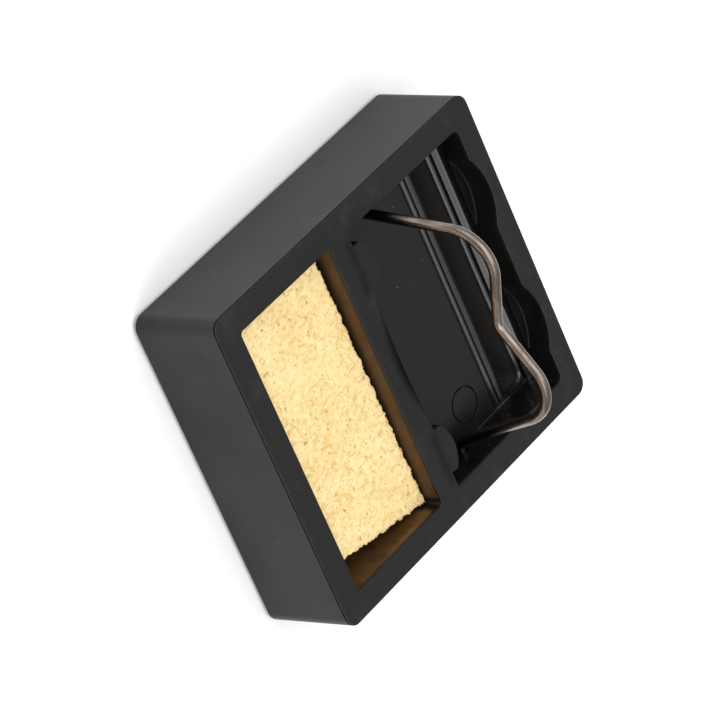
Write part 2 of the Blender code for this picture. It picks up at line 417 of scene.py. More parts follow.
class Finish:
    """A node material that is built up in code."""

    def __init__(self, name, **constants):
        self.material = bpy.data.materials.new(name)
        self.material.use_nodes = True
        self.tree = self.material.node_tree
        self.shader = self.tree.nodes["Principled BSDF"]
        for socket, value in constants.items():
            self.shader.inputs[socket.replace("_", " ")].default_value = value

    def node(self, kind, settings=None, inputs=None, output=0):
        """Adds a node, sets it up, and sets or links its sockets. Returns one of its outputs."""
        made = self.tree.nodes.new(kind)
        for name, value in (settings or {}).items():
            setattr(made, name, value)
        for socket, value in (inputs or {}).items():
            if isinstance(value, Signal):
                self.tree.links.new(value.socket, made.inputs[socket])
            else:
                made.inputs[socket].default_value = value
        return Signal(self, made.outputs[output])

    def feed(self, socket, signal):
        self.tree.links.new(signal.socket, self.shader.inputs[socket])

    def place(self):
        return self.node("ShaderNodeTexCoord", output="Object")

    def along(self, place, axis):
        return self.node("ShaderNodeSeparateXYZ", inputs={0: place}, output=axis)

    def stretched(self, place, scale, turn=(0, 0, 0)):
        return self.node("ShaderNodeMapping", inputs={0: place, "Scale": scale, "Rotation": turn})

    def noise(self, place, scale, detail=4.0, roughness=0.55, warp=0.0, output=0):
        """Soft lumps, about as many to a metre as the scale says."""
        values = {"Scale": scale, "Detail": detail, "Roughness": roughness, "Distortion": warp}
        return self.node("ShaderNodeTexNoise", None, {"Vector": place, **values}, output)

    def cells(self, place, scale, feature="F1"):
        """Distance within scattered cells, about as many to a metre as the scale says."""
        values = {"Vector": place, "Scale": scale}
        return self.node("ShaderNodeTexVoronoi", {"feature": feature}, values, "Distance")

    def step(self, value, low, high, bottom=0.0, top=1.0):
        """bottom below low, top above high, and a smooth change between them."""
        values = {0: value, 1: low, 2: high, 3: bottom, 4: top}
        return self.node("ShaderNodeMapRange", {"interpolation_type": "SMOOTHSTEP"}, values)

    def fade(self, value, low, high):
        """1 below low, 0 above high, and a smooth change between them."""
        return self.step(value, low, high, 1.0, 0.0)

    def mixed(self, share, first, second):
        """A colour between two colours."""
        first, second = (c if isinstance(c, Signal) else (*c, 1.0) for c in (first, second))
        return self.node("ShaderNodeMix", {"data_type": "RGBA"}, {0: share, 6: first, 7: second}, 2)

    def greatest(self, first, second):
        return self.node("ShaderNodeMath", {"operation": "MAXIMUM"}, {0: first, 1: second})

    def size_of(self, value):
        return self.node("ShaderNodeMath", {"operation": "ABSOLUTE"}, {0: value})

    def bump(self, height, distance, strength=1.0, normal=None):
        values = {"Height": height, "Distance": distance, "Strength": strength}
        if normal:
            values["Normal"] = normal
        return self.node("ShaderNodeBump", inputs=values)

    def lay_painted_shade(self, share, shade):
        """Lays a matt film of one colour over the finish, as thick as the share says: a painted
        shade.
        """
        film = self.node("ShaderNodeBsdfDiffuse", inputs={"Color": (*shade, 1.0)})
        under = Signal(self, self.shader.outputs[0])
        blend = self.node("ShaderNodeMixShader", inputs={0: share, 1: under, 2: film})
        self.tree.links.new(blend.socket, self.tree.nodes["Material Output"].inputs["Surface"])


def tray_plastic(sizes):
    """Black moulded plastic: satin and faintly clouded outside, glossier inside, with a fine
    grain, a few dust specks, scuffs along the rim and paler handled edges. Light and shade are
    painted into its colour too: a lighter sheen in cloudy patches outside, a lighter trough, a
    brown reflection of the sponge on the well's walls, and a matt dark film of painted shade
    over the scoop, the dish by the rests, the parting line and the scallop ledges."""
    made = Finish("tray_plastic", Specular_IOR_Level=0.28, Coat_Roughness=0.14)
    place = made.place()
    across, back, up = (made.along(place, axis) for axis in "XYZ")

    reach_x, reach_y = TRAY_HIGH.x - sizes.draft, TRAY_HIGH.y - sizes.draft
    out_x = made.size_of(across) - reach_x
    out_y = made.size_of(back) - reach_y
    corner_x, corner_y = (made.greatest(out + sizes.corner, 0.0) for out in (out_x, out_y))
    skin = (corner_x * corner_x + corner_y * corner_y) ** 0.5 - sizes.corner
    nearest = made.greatest(out_x, out_y)
    inside = made.fade(up, RIM_Z - 1.2 * MM, RIM_Z - 0.2 * MM)
    inside = inside * made.fade(nearest, -3.0 * MM, -1.5 * MM)

    clouds = made.noise(place, 45.0, 5.0, 0.6, 0.4)
    smudges_and_sheen = made.noise(made.stretched(place, (1, 1, 1.6)), 120.0, 6.0, 0.65)
    smudges_and_sheen = made.step(smudges_and_sheen, 0.5, 0.75)
    grain = made.noise(place, 5200.0, 2.0)
    lines = made.noise(made.stretched(place, (1, 0.04, 0.3), (0, 0, 0.35)), 2600.0, 2.0)
    scratches = made.step(lines, 0.72, 0.8) * made.step(clouds, 0.45, 0.62)
    dust = made.fade(made.cells(place, 420.0), 0.045, 0.09)
    dust = dust * made.step(made.noise(place, 160.0, 2.0), 0.6, 0.68)

    edge = made.fade(made.size_of(nearest) + (RIM_Z - up), 0.1 * MM, 0.9 * MM)
    worn = edge * made.step(made.noise(place, 700.0, 5.0, 0.7), 0.4, 0.7)

    dark = tuple(sizes.plastic)
    shade = made.mixed(clouds, tuple(0.75 * c for c in dark), tuple(1.3 * c for c in dark))
    # Painted sheen, partly real smudges: lighter cloudy patches away from the hollows.
    shade = made.mixed(smudges_and_sheen * 0.12 * (1 - inside), shade, (0.09, 0.09, 0.088))
    outside = made.step(skin, -0.35 * MM, -0.2 * MM)
    # Painted sheen: the outer sides get lighter cloudy patches that stand for the light they catch.
    faces = outside * made.fade(up, RIM_Z - 0.6 * MM, RIM_Z - 0.4 * MM)
    shade = made.mixed(faces * made.step(clouds, 0.35, 0.65), shade, (0.015, 0.0144, 0.0135))
    # Painted light: the trough, below the pocket's floor, is painted a lighter grey for the light
    # it gathers.
    low = made.fade(up, POCKET_FLOOR - 1.5 * MM, POCKET_FLOOR - 0.3 * MM)
    behind = made.step(back, -6.3 * MM, -5.6 * MM)
    shade = made.mixed(inside * low * behind, shade, (0.035, 0.034, 0.031))
    # Painted reflection: a brown glow of the sponge on the well's walls, near the top and at the
    # right end, but not in the back corner.
    in_well = inside * (1 - behind)
    painted_sponge_reflection = in_well * made.step(made.noise(place, 260.0, 4.0, 0.6), 0.25, 0.65, 0.5, 1.0)
    at_end = made.step(across, 28.5 * MM, 31.5 * MM)
    at_top = made.step(up, RIM_Z - 6.5 * MM, RIM_Z - 3.0 * MM)
    painted_sponge_reflection = painted_sponge_reflection * made.greatest(at_top * 0.62, at_end)
    corner = made.step(across, 30 * MM, 31.5 * MM) * made.step(back, -11.0 * MM, -9.0 * MM)
    painted_sponge_reflection = painted_sponge_reflection * (1 - corner)
    shade = made.mixed(painted_sponge_reflection, shade, (0.12, 0.057, 0.018))
    shade = made.mixed(worn * 0.08, shade, (0.11, 0.11, 0.105))
    shade = made.mixed(made.greatest(dust * 0.55, scratches * 0.1), shade, (0.3, 0.29, 0.27))
    made.feed("Base Color", shade)

    spread = sizes.outside_roughness - sizes.inside_roughness
    rough = sizes.outside_roughness - inside * spread
    rough = rough + in_well * 0.14 + (clouds - 0.5) * 0.14 + (grain - 0.5) * 0.06 + smudges_and_sheen * 0.06
    made.feed("Roughness", rough + made.greatest(dust, scratches) * 0.3)

    relief = grain * 0.5 + clouds * 0.25 + scratches * -0.5 + dust * 1.5
    soft = made.node("ShaderNodeBevel", {"samples": 4}, {"Radius": 0.2 * MM})
    dish = made.fade(made.size_of(back + 2.4 * MM), 0.0, 2.2 * MM)
    aside = made.size_of(across)
    dish = dish * made.step(aside, 16.5 * MM, 19.0 * MM) * made.fade(aside, 29.5 * MM, 31.5 * MM)
    dish = dish * made.step(up, RIM_Z - 0.3 * MM, RIM_Z - 0.1 * MM)
    soft = made.bump(dish * -1.0, 0.1 * MM, 1.0, soft)
    waves = made.noise(made.stretched(place, (1, 0.6, 1)), 170.0, 4.0, 0.6, 0.5) * inside
    soft = made.bump(waves, 0.07 * MM, 1.0, soft)
    made.feed("Normal", made.bump(relief, 0.012 * MM, 1.0, soft))

    lip = made.step(back, 25.9 * MM, 26.2 * MM) * made.fade(back, 30.2 * MM, 30.6 * MM)
    wall_foot = made.fade(up, POCKET_FLOOR + 2 * MM, POCKET_FLOOR + 3 * MM)
    wall_foot = made.step(back, 35.6 * MM, 36.0 * MM) * wall_foot
    ridges = made.greatest(lip, wall_foot)
    above = made.step(up, POCKET_FLOOR - 1.5 * MM, POCKET_FLOOR - MM)
    made.feed("Coat Weight", 0.85 * ridges * inside * above)

    # Painted shade: a matt dark film over the scoop in the partition's top, the dish by the rests,
    # the fine parting line outside and the scallop ledges.
    lens = 1 - (across / SCOOP_REACH) ** 2
    scoop = made.step(back - POCKET_FRONT + lens * 4.4 * MM, 0.0, 3.4 * MM)
    scoop = scoop * made.step(lens, 0.0, 0.15) * made.fade(back, 0.2 * MM, 0.5 * MM)
    scoop = scoop * made.step(up, RIM_Z - 3 * MM, RIM_Z - 2 * MM)
    line = made.fade(made.size_of(up - (RIM_Z - 0.36 * MM)), 0.1 * MM, 0.22 * MM) * outside
    ledge = made.fade(made.size_of(up - SCALLOP_FLOOR), 0.15 * MM, 0.5 * MM)
    ledge = ledge * made.step(back, 36 * MM, 37 * MM) * inside
    painted_dark_share = made.greatest(scoop * 0.9, dish * 0.35)
    painted_dark_share = made.greatest(painted_dark_share, made.greatest(line * 0.95, ledge * 0.5))
    made.lay_painted_shade(painted_dark_share * made.step(clouds, 0.2, 0.55, 0.7, 1.0), (0.004, 0.004, 0.0037))
    return made.material


def drawn_steel(sizes):
    """Round steel wire: fine die lines along it, brown tarnish in patches and at the ends, and
    small dark spots. The ends are also darkened further, a painted shade where they go into the
    walls."""
    made = Finish("drawn_steel", Metallic=1.0)
    line = made.node("ShaderNodeAttribute", {"attribute_name": "wire_line"}, output="Vector")
    die_lines = made.noise(made.stretched(line, (60, 5, 5)), 1.6, 4.0, 0.7)
    fine_lines = made.noise(made.stretched(line, (120, 14, 14)), 1.4, 3.0, 0.7)
    patches = made.noise(made.stretched(line, (140, 0.8, 0.8)), 1.0, 5.0, 0.62, 0.6)
    spots = made.step(made.noise(made.stretched(line, (900, 3, 3)), 1.0, 4.0, 0.7), 0.58, 0.72)

    whole = float(cradle_line()[1][-1])
    # Tarnish and painted shade: the last stretch towards each toe is browned and then darkened
    # further.
    ends = made.step(made.size_of(made.along(line, 0) - whole / 2), 0.3 * whole, 0.45 * whole)
    browned = made.greatest(made.step(patches, 0.38, 0.66), ends)
    steel, tarnish = tuple(sizes.steel), tuple(sizes.tarnish)
    shade = made.mixed(browned * 0.75, steel, tarnish)
    shade = made.mixed(ends * 0.6, shade, (0.05, 0.04, 0.034))
    shade = made.mixed(made.step(die_lines, 0.52, 0.75) * 0.45, shade, (0.6, 0.54, 0.49))
    shade = made.mixed(spots * 0.4, shade, (0.1, 0.065, 0.045))
    made.feed("Base Color", shade)
    made.feed("Roughness", 0.17 + browned * 0.1 + (fine_lines - 0.5) * 0.16 + spots * 0.2)
    made.feed("Normal", made.bump(die_lines * 0.6 + fine_lines * 0.4 - spots * 0.3, 0.03 * MM))
    return made.material


def dry_cellulose(sizes):
    """Dry cellulose sponge: a pale flaky face with golden veins, small pores and darker specks,
    with painted highlights on the raised flakes and painted shade in the pores and pits.
    """
    made = Finish("dry_cellulose", Roughness=0.93, Specular_IOR_Level=0.2)
    place = made.place()
    wander = made.noise(place, 260.0, 3.0)
    drift = made.noise(place, 320.0, 2.0, 0.5, output="Color")
    drift = made.node("ShaderNodeVectorMath", {"operation": "SCALE"}, {0: drift, "Scale": 1.6 * MM})
    warped = made.node("ShaderNodeVectorMath", {"operation": "ADD"}, {0: place, 1: drift})
    broad = made.noise(place, 75.0, 4.0, 0.6, 0.6)
    flakes = made.cells(warped, 820.0, "SMOOTH_F1")
    veins = made.fade(made.cells(warped, 330.0, "DISTANCE_TO_EDGE"), 0.0, 0.11)
    veins = veins * made.step(made.noise(place, 190.0, 4.0, 0.6), 0.45, 0.62)
    fibres = made.noise(made.stretched(warped, (1, 0.3, 1), (0, 0, 0.5)), 1700.0, 4.0, 0.7)
    fibres = made.step(fibres, 0.52, 0.68)
    pores = made.fade(made.cells(warped, 640.0), 0.09, 0.2)
    pores = pores * made.step(made.noise(place, 520.0, 2.0), 0.52, 0.6)
    specks = made.fade(made.cells(place, 260.0), 0.05, 0.085)
    specks = specks * made.step(wander, 0.54, 0.6)
    depth = made.node("ShaderNodeAttribute", {"attribute_name": "sunk"}, output="Fac")

    pale, golden, speck = tuple(sizes.pale), tuple(sizes.golden), tuple(sizes.speck)
    between = tuple(0.7 * p + 0.3 * g for p, g in zip(pale, golden))
    shade = made.mixed(made.step(broad, 0.4, 0.75), pale, between)
    fine = made.noise(place, 4200.0, 3.0, 0.75)
    shade = made.mixed(made.step(fine, 0.48, 0.66) * 0.6, shade, (0.48, 0.33, 0.1))
    shade = made.mixed(fibres * 0.62, shade, golden)
    threads = made.noise(made.stretched(warped, (0.35, 1, 1), (0, 0, -0.7)), 2400.0, 3.0, 0.7)
    shade = made.mixed(made.step(threads, 0.55, 0.65) * 0.68, shade, (0.42, 0.36, 0.09))
    shade = made.mixed(veins * 0.6, shade, golden)
    # Painted highlight: the raised flakes are lighter.
    shade = made.mixed(made.step(flakes, 0.3, 0.75) * 0.4, shade, (0.9, 0.76, 0.47))
    # Painted shade: sunk pores and the pits in the sides are darker, and so are the pores.
    shade = made.mixed(made.step(depth, 0.25, 1.0) * 0.75, shade, tuple(0.62 * g for g in golden))
    shade = made.mixed(pores * 0.5, shade, (0.36, 0.23, 0.05))
    shade = made.mixed(specks * 0.85, shade, speck)
    orange = made.fade(made.cells(place, 75.0), 0.05, 0.1)
    shade = made.mixed(orange * made.step(wander, 0.4, 0.5) * 0.6, shade, (0.75, 0.36, 0.06))
    sides = made.fade(made.along(place, 2), SPONGE_HIGH.z - 2.4 * MM, SPONGE_HIGH.z - 1.2 * MM)
    shade = made.mixed(sides * 0.75, shade, (0.72, 0.33, 0.07))
    made.feed("Base Color", shade)
    relief = flakes * 0.6 + fibres * 0.25 - pores * 0.9 - veins * 0.3 - specks * 0.4
    made.feed("Normal", made.bump(relief + fine * 0.35, 0.18 * MM, 0.9))
    return made.material


def foot_rubber(sizes):
    """Matt black rubber with a fine grain and some pale dust."""
    made = Finish("foot_rubber", Specular_IOR_Level=0.35)
    place = made.place()
    grain = made.noise(place, 3000.0, 4.0, 0.7)
    dusty = made.step(made.noise(place, 300.0, 5.0, 0.65), 0.45, 0.75)
    dark = tuple(sizes.rubber)
    made.feed("Base Color", made.mixed(dusty * 0.3, dark, (0.09, 0.088, 0.083)))
    made.feed("Roughness", 0.72 + grain * 0.15 + dusty * 0.1)
    made.feed("Normal", made.bump(grain, 0.03 * MM))
    return made.material


def painted_floor(sizes):
    """A plain pale floor."""
    made = Finish("painted_floor", Roughness=0.9, Specular_IOR_Level=0.1, Emission_Strength=0.08,
                  Emission_Color=(1, 1, 1, 1))
    shade = tuple(sizes.floor)
    cloud = made.noise(made.place(), 3.0, 2.0)
    made.feed("Base Color", made.mixed(cloud, shade, tuple(0.985 * c for c in shade)))
    return made.material


# ---------------------------------------------------------------- the tray


def rest_front(sign, steps=24):
    """The rounded front of one rest, from its low-X to its high-X side: an arc through both
    sides' ends and the crown, whose radius is (half^2 + rise^2) / (2 rise)."""
    side_y, crown_y = 0.7 * MM, 2.8 * MM
    half, rise = (REST_OUTER - REST_INNER) / 2, crown_y - side_y
    radius = (half * half + rise * rise) / (2 * rise)
    spread = math.degrees(math.asin(half / radius))
    middle = sign * (REST_INNER + REST_OUTER) / 2
    return arc(middle, crown_y - radius, radius, 90 + spread, 90 - spread, steps)


def pocket_outline():
    """The pocket from above, anticlockwise: two rounded rests in its front side, slots beside
    them, and rounded back corners."""
    corner, steps = 1.6 * MM, 37
    left, right = rest_front(-1), rest_front(1)
    along = np.linspace(-REST_INNER, REST_INNER, steps)
    between = np.stack([along, np.full(steps, POCKET_FRONT)], axis=-1)
    back_right = arc(POCKET_X - corner, POCKET_BACK - corner, corner, 0, 90, 8)
    back_left = arc(corner - POCKET_X, POCKET_BACK - corner, corner, 90, 180, 8)
    return np.concatenate([
        [(-POCKET_X, POCKET_FRONT), (-REST_OUTER, POCKET_FRONT)], left, between, right,
        [(REST_OUTER, POCKET_FRONT), (POCKET_X, POCKET_FRONT)], back_right, back_left,
    ])


def rounding(out, height, radius, start, end, steps=6):
    """Profile steps on a quarter circle about (out, height), from one angle to another."""
    return [tuple(p) for p in arc(out, height, radius, start, end, steps)]


def hollow_profile(floor, mouth, foot):
    """A cutter's profile: a rounding at the foot of the wall, the wall, and a flare that leaves
    a rounding of radius mouth along the rim."""
    foot_part = rounding(-foot, floor + foot, foot, -90, 0)
    mouth_part = rounding(mouth, RIM_Z - mouth, mouth, 180, 90)
    return foot_part + mouth_part + [(mouth, RIM_Z + 3 * MM)]


def pocket_profile(outline, mouth, foot, scoop_out, scoop_down):
    """The pocket's profile, corner by corner. Its mouth is an elliptical rounding, out by b and
    down by d, which are the mouth's radius and grow to the scoop's sizes in the middle of the
    partition, as 1 - (x / the scoop's reach)^2."""
    middle = np.clip(1 - (outline[:, 0] / SCOOP_REACH) ** 2, 0, 1)
    middle = np.where(np.abs(outline[:, 1] - POCKET_FRONT) < 0.01 * MM, middle, 0.0)
    edge = np.where(outline[:, 1] < 0.2 * MM, 0.7 * MM, mouth)
    out, down = edge + (scoop_out - edge) * middle, edge + (scoop_down - edge) * middle
    foot_part = arc(-foot, POCKET_FLOOR + foot, foot, -90, 0, 6)[:, None]
    foot_part = np.tile(foot_part, (1, len(outline), 1))
    turn = arc(1, -1, 1, 180, 90, 8)[:, None]
    mouth_part = turn * np.stack([out, down], axis=-1) + (0, RIM_Z)
    above = np.stack([out, np.full(len(outline), RIM_Z + 3 * MM)], axis=-1)[None]
    return np.concatenate([foot_part, mouth_part, above])


def scallop_outline(sign):
    """One scallop with its two cusps rounded, anticlockwise. A rounding of radius r touches the
    back wall, and the scallop's circle from outside, where its centre lies r behind the wall and
    sqrt((radius + r)^2 - rise^2) to the side, with rise from one centre back to the other."""
    r = 2.0 * MM
    rise = POCKET_BACK + r - SCALLOP_Y
    aside = math.sqrt((SCALLOP_RADIUS + r) ** 2 - rise * rise)
    lean = math.degrees(math.atan2(rise, aside))
    right = arc(aside, rise, r, -90, lean - 180, 8)
    circle = arc(0, 0, SCALLOP_RADIUS, lean, 90, 30)[1:]
    half = np.concatenate([[(aside, -4 * MM)], right, circle])
    mirrored = (half * (-1, 1))[::-1][1:]
    return np.concatenate([half, mirrored]) + (sign * SCALLOP_X, SCALLOP_Y)


def block_profile(sizes):
    """The outside: eased foot, drafted side, the fine parting line and the rounded rim edge."""
    easing = 0.2 * MM
    foot_part = rounding(sizes.draft - easing, BASE_Z + easing, easing, -90, 0, 4)
    line = [(out * MM, RIM_Z - down * MM) for out, down in
            ((0, 0.52), (-0.16, 0.46), (-0.16, 0.34), (0, 0.28))]
    rim_part = rounding(-sizes.rim_round, RIM_Z - sizes.rim_round, sizes.rim_round, 0, 90)
    return foot_part + line + rim_part


def jacket(name, outline, low, foot):
    """The outside of a hollow's wall, seen from below."""
    profile = rounding(-foot, low + foot, foot, -90, 0, 4) + [(0.0, RIM_Z - 0.8 * MM)]
    return raised(name, outline, profile)


def tray_steps(sizes):
    """The solids that are joined to the block or cut from it, in order."""
    wall, mouth = sizes.wall, sizes.mouth_round
    half_x, half_y = TRAY_HIGH.x - sizes.draft, TRAY_HIGH.y - sizes.draft
    steps = []

    inner = rounded_box(wall - half_x, wall - half_y, half_x - wall, half_y - wall, 1.4 * MM)
    turn = 0.6 * MM
    deck = [(0.3 * MM, BASE_Z - 4 * MM)] + rounding(-turn, RIM_Z - wall - turn, turn, 0, 90)
    steps.append((raised("underside", inner, deck), "DIFFERENCE"))

    well = (-32.2 * MM, -37.9 * MM, 32.2 * MM, -7.4 * MM)
    pocket = (-POCKET_X, POCKET_FRONT, POCKET_X, POCKET_BACK)
    trough = (-30.4 * MM, 30.1 * MM, 30.4 * MM, 35.85 * MM)
    trough_floor = BASE_Z + 3.2 * MM
    grown = np.array([-wall, -wall, wall, wall])
    for name, box, floor in (("well", well, WELL_FLOOR), ("pocket", pocket, POCKET_FLOOR),
                             ("trough", trough, trough_floor)):
        outline = rounded_box(*(np.array(box) + grown), 1.6 * MM)
        steps.append((jacket(f"{name}_jacket", outline, floor - wall, 0.5 * MM), "UNION"))

    for sign in (-1, 1):
        outline = arc(sign * SCALLOP_X, SCALLOP_Y, SCALLOP_RADIUS + wall, 0, 360, 144)[:-1]
        steps.append((jacket("scallop_jacket", outline, SCALLOP_FLOOR - wall, 0.4 * MM), "UNION"))

    outline = pocket_outline()
    cuts = [("pocket", outline, pocket_profile(outline, mouth, 0.5 * MM, 4.0 * MM, 1.4 * MM))]
    ledge = hollow_profile(SCALLOP_FLOOR, mouth, 0.35 * MM)
    cuts += [("scallop", scallop_outline(sign), ledge) for sign in (-1, 1)]
    cuts.append(("well", rounded_box(*well, 0.9 * MM), hollow_profile(WELL_FLOOR, mouth, 0.9 * MM)))
    low, high = 1.3 * MM, 1.0 * MM
    side = rounding(-low, trough_floor + low, low, -90, 0)
    side += rounding(high, POCKET_FLOOR - high, high, 180, 90, 8) + [(high, POCKET_FLOOR + 3 * MM)]
    cuts.append(("trough", rounded_box(*trough, 1.8 * MM), side))
    steps += [(raised(name, outline, profile), "DIFFERENCE") for name, outline, profile in cuts]
    return steps + floor_details() + [(hole, "DIFFERENCE") for hole in pivot_holes(wall)]


def floor_details():
    """The lip, bead and grooves in front of the trough, the sloping step at the foot of the back
    wall, and the round mark: (solid, operation) pairs."""
    floor, reach = POCKET_FLOOR, 31.2 * MM
    lip = np.concatenate([
        [(29.95 * MM, floor - 4.6 * MM)], [(30.1 * MM, floor - 1.5 * MM)],
        arc(28.5 * MM, floor - 1.15 * MM, 1.65 * MM, 10, 125, 14), [(27.55 * MM, floor - 0.5 * MM)],
        [(27.55 * MM, floor - 4.6 * MM)],
    ])
    bead = arc(26.8 * MM, floor - 0.25 * MM, 0.62 * MM, 0, 360, 28)[:-1]
    roll = np.concatenate([
        [(POCKET_BACK + 0.3 * MM, floor - 0.4 * MM), (POCKET_BACK + 0.3 * MM, floor + 2.0 * MM)],
        arc(POCKET_BACK - 1.02 * MM, floor + 2.0 * MM, MM, 0, -48, 6),
        arc(POCKET_BACK - 1.05 * MM, floor + 0.5 * MM, 0.25 * MM, 132, 180, 4),
        [(POCKET_BACK - 1.3 * MM, floor - 0.4 * MM)],
    ])
    details = []
    for y, width, depth in ((25.75, 0.55, 0.45), (27.55, 0.4, 0.5), (36.95, 0.4, 0.35)):
        above = 0.1
        half_oval = arc(0, 0, 1.0, 180, 360, 10) * (width * MM / 2, (depth + above) * MM)
        groove = half_oval + (y * MM, floor + above * MM)
        details.append((drawn_across("groove", groove, reach), "DIFFERENCE"))
    details.append((drawn_across("lip", lip, 30.2 * MM), "UNION"))
    details.append((drawn_across("bead", bead, 30.8 * MM), "UNION"))
    details.append((drawn_across("back_roll", roll, POCKET_X + 0.2 * MM), "UNION"))
    section = np.array([(0.16, -0.45), (0.2, 0.3), (-0.2, 0.3), (-0.16, -0.45)]) * MM + (0, floor)
    mark = ring("round_mark", (25.0 * MM, 18.0 * MM), 4.0 * MM, section)
    details.append((mark, "DIFFERENCE"))
    return details


def pivot_holes(wall):
    """The holes that the cradle's toes turn in."""
    radius, near, far = 1.5 * MM, POCKET_X - 0.6 * MM, POCKET_X + wall + 0.4 * MM
    both = ((near, far), (-far, -near))
    return [rod("pivot_hole", *ends, PIVOT[1], PIVOT[2], radius) for ends in both]


def foot_centres():
    """Name and place of each foot, from its CAD node's box."""
    nodes = [name for name in sorted(frame["nodes"]) if name.startswith("foot_")]
    middles = [(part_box(name)[0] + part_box(name)[1]) / 2 for name in nodes]
    return [(name, middle.x, middle.y) for name, middle in zip(nodes, middles)]


def foot_bosses():
    """Round bosses that hang from the floors and carry the feet."""
    steps = []
    low = FOOT_HIGH.z + 0.3 * MM
    for name, x, y in foot_centres():
        top = (POCKET_FLOOR if "rear" in name else WELL_FLOOR) - 0.9 * MM
        outline = arc(x, y, 5.4 * MM, 0, 360, 48)[:-1]
        profile = rounding(-0.3 * MM, low + 0.3 * MM, 0.3 * MM, -90, 0, 4) + [(0.0, top)]
        steps.append((raised("boss", outline, profile), "UNION"))
    return steps


class IRONSTAND_OT_tray(bpy.types.Operator):
    """Build the moulded tray with its well, pocket, trough, scallops and pivot holes"""

    bl_idname = "ironstand.tray"
    bl_label = "Tray"

    def execute(self, context):
        sizes = context.scene.iron_stand.tray
        half_x, half_y = TRAY_HIGH.x - sizes.draft, TRAY_HIGH.y - sizes.draft
        outline = rounded_box(-half_x, -half_y, half_x, half_y, sizes.corner, 12)
        tray = raised("tray_moulding", outline, block_profile(sizes))
        cut_and_joined(tray, tray_steps(sizes) + foot_bosses())
        flats_kept_flat(shaded(tray))
        fitted(tray, tray_plastic(sizes), "tray", "tray_plastic", "base_tray")
        return {"FINISHED"}


# ---------------------------------------------------------------- the cradle


def bend(before, corner, after, radius, steps):
    """The arc that rounds a corner: its centre lies on the bisector, radius / sin(half angle)
    from the corner, and it starts radius / tan(half angle) along the first leg."""
    before, corner, after = (np.array(p, float) for p in (before, corner, after))
    into = (before - corner) / np.linalg.norm(before - corner)
    out = (after - corner) / np.linalg.norm(after - corner)
    half = math.acos(float(into @ out)) / 2
    centre = corner + (into + out) / np.linalg.norm(into + out) * radius / math.sin(half)
    start, end = (corner + leg * radius / math.tan(half) - centre for leg in (into, out))
    first = math.atan2(start[1], start[0])
    turn = math.remainder(math.atan2(end[1], end[0]) - first, TAU)
    a = first + turn * np.linspace(0, 1, steps + 1)
    return centre + radius * np.stack([np.cos(a), np.sin(a)], axis=-1)


def cradle_line():
    """The wire's middle line in its own plane, from toe to toe, in even small steps."""
    toe, foot = (35.2 * MM, 0.0), (29.3 * MM, 0.0)
    shoulder, dip = (21.65 * MM, 31.7 * MM), (0.0, 23.55 * MM)
    left = [(-toe[0], 0.0), (-foot[0], 0.0), (-shoulder[0], shoulder[1])]
    corners = left + [dip, shoulder, foot, toe]
    radii = [2.2 * MM, 9.25 * MM, 4.1 * MM, 9.25 * MM, 2.2 * MM]
    parts = [np.array([corners[0]])]
    parts += [bend(*corners[i:i + 3], radius, 24) for i, radius in enumerate(radii)]
    rough = np.concatenate(parts + [np.array([corners[-1]])])
    travel = np.concatenate([[0], np.cumsum(np.linalg.norm(np.diff(rough, axis=0), axis=-1))])
    even = np.linspace(0, travel[-1], 420)
    return np.stack([np.interp(even, travel, rough[:, k]) for k in (0, 1)], axis=-1), even


class IRONSTAND_OT_cradle(bpy.types.Operator):
    """Bend the wire cradle"""

    bl_idname = "ironstand.cradle"
    bl_label = "Wire cradle"

    def execute(self, context):
        sizes = context.scene.iron_stand.cradle
        cradle = new_object("cradle_wire", wire_mesh(sizes.wire_radius))
        fitted(shaded(cradle), drawn_steel(sizes), "cradle", "steel_wire", "wire_cradle")
        return {"FINISHED"}


def wire_mesh(radius, sides=28):
    """A round section carried along the line. At travel s the section's radius is the wire's,
    times sqrt(1 - (1 - d / r)^2) within r = 0.7 mm of an end, d away from it, so the cut ends are
    domed. The point at angle a is line(s) + radius (cos a side + sin a back)."""
    line, travel = cradle_line()
    back_y, up_z = WIRE_HIGH.y - radius - PIVOT[1], WIRE_HIGH.z - radius - PIVOT[2]
    lean = math.atan2(back_y, up_z)
    up = np.array([0, math.sin(lean), math.cos(lean)])
    back = np.array([0, math.cos(lean), -math.sin(lean)])
    middle = np.array(PIVOT) + line[:, :1] * [1, 0, 0] + line[:, 1:] * up
    heading = np.gradient(middle, axis=0)
    heading /= np.linalg.norm(heading, axis=-1, keepdims=True)
    side = np.cross(back, heading)
    wander = 0.05 * MM * lumps(np.stack([travel * 90, travel * 0, travel * 0], axis=-1), 5)
    from_end = np.minimum(travel, travel[-1] - travel)
    middle = middle + side * (wander * ease(0, 6 * MM, from_end))[:, None]
    dome = 0.7 * MM
    size = radius * np.sqrt(np.clip(1 - (1 - np.clip(from_end / dome, 0, 1)) ** 2, 1e-4, 1))
    a = np.linspace(0, TAU, sides, endpoint=False)
    spokes = side[:, None] * np.cos(a)[None, :, None] + back * np.sin(a)[None, :, None]
    points = middle[:, None] + size[:, None, None] * spokes
    rows = len(line)
    faces = grid_faces(rows, sides).tolist()
    faces += [list(range(sides))[::-1], [(rows - 1) * sides + j for j in range(sides)]]
    mesh = new_mesh("cradle_wire", points, faces)
    round_line = np.zeros((rows, sides, 3))
    round_line[..., 0] = travel[:, None]
    round_line[..., 1], round_line[..., 2] = np.cos(a), np.sin(a)
    vector_attribute(mesh, "wire_line", round_line)
    return mesh


# ---------------------------------------------------------------- the sponge

SPONGE_CORNERS = np.array([(-31.2, -37.2), (27.0, -37.2), (32.0, -7.6), (-31.6, -8.3)]) * MM


def on_the_flat(plan):
    """The plan's points at height 0."""
    return np.concatenate([plan, np.zeros(plan.shape[:-1] + (1,))], axis=-1)


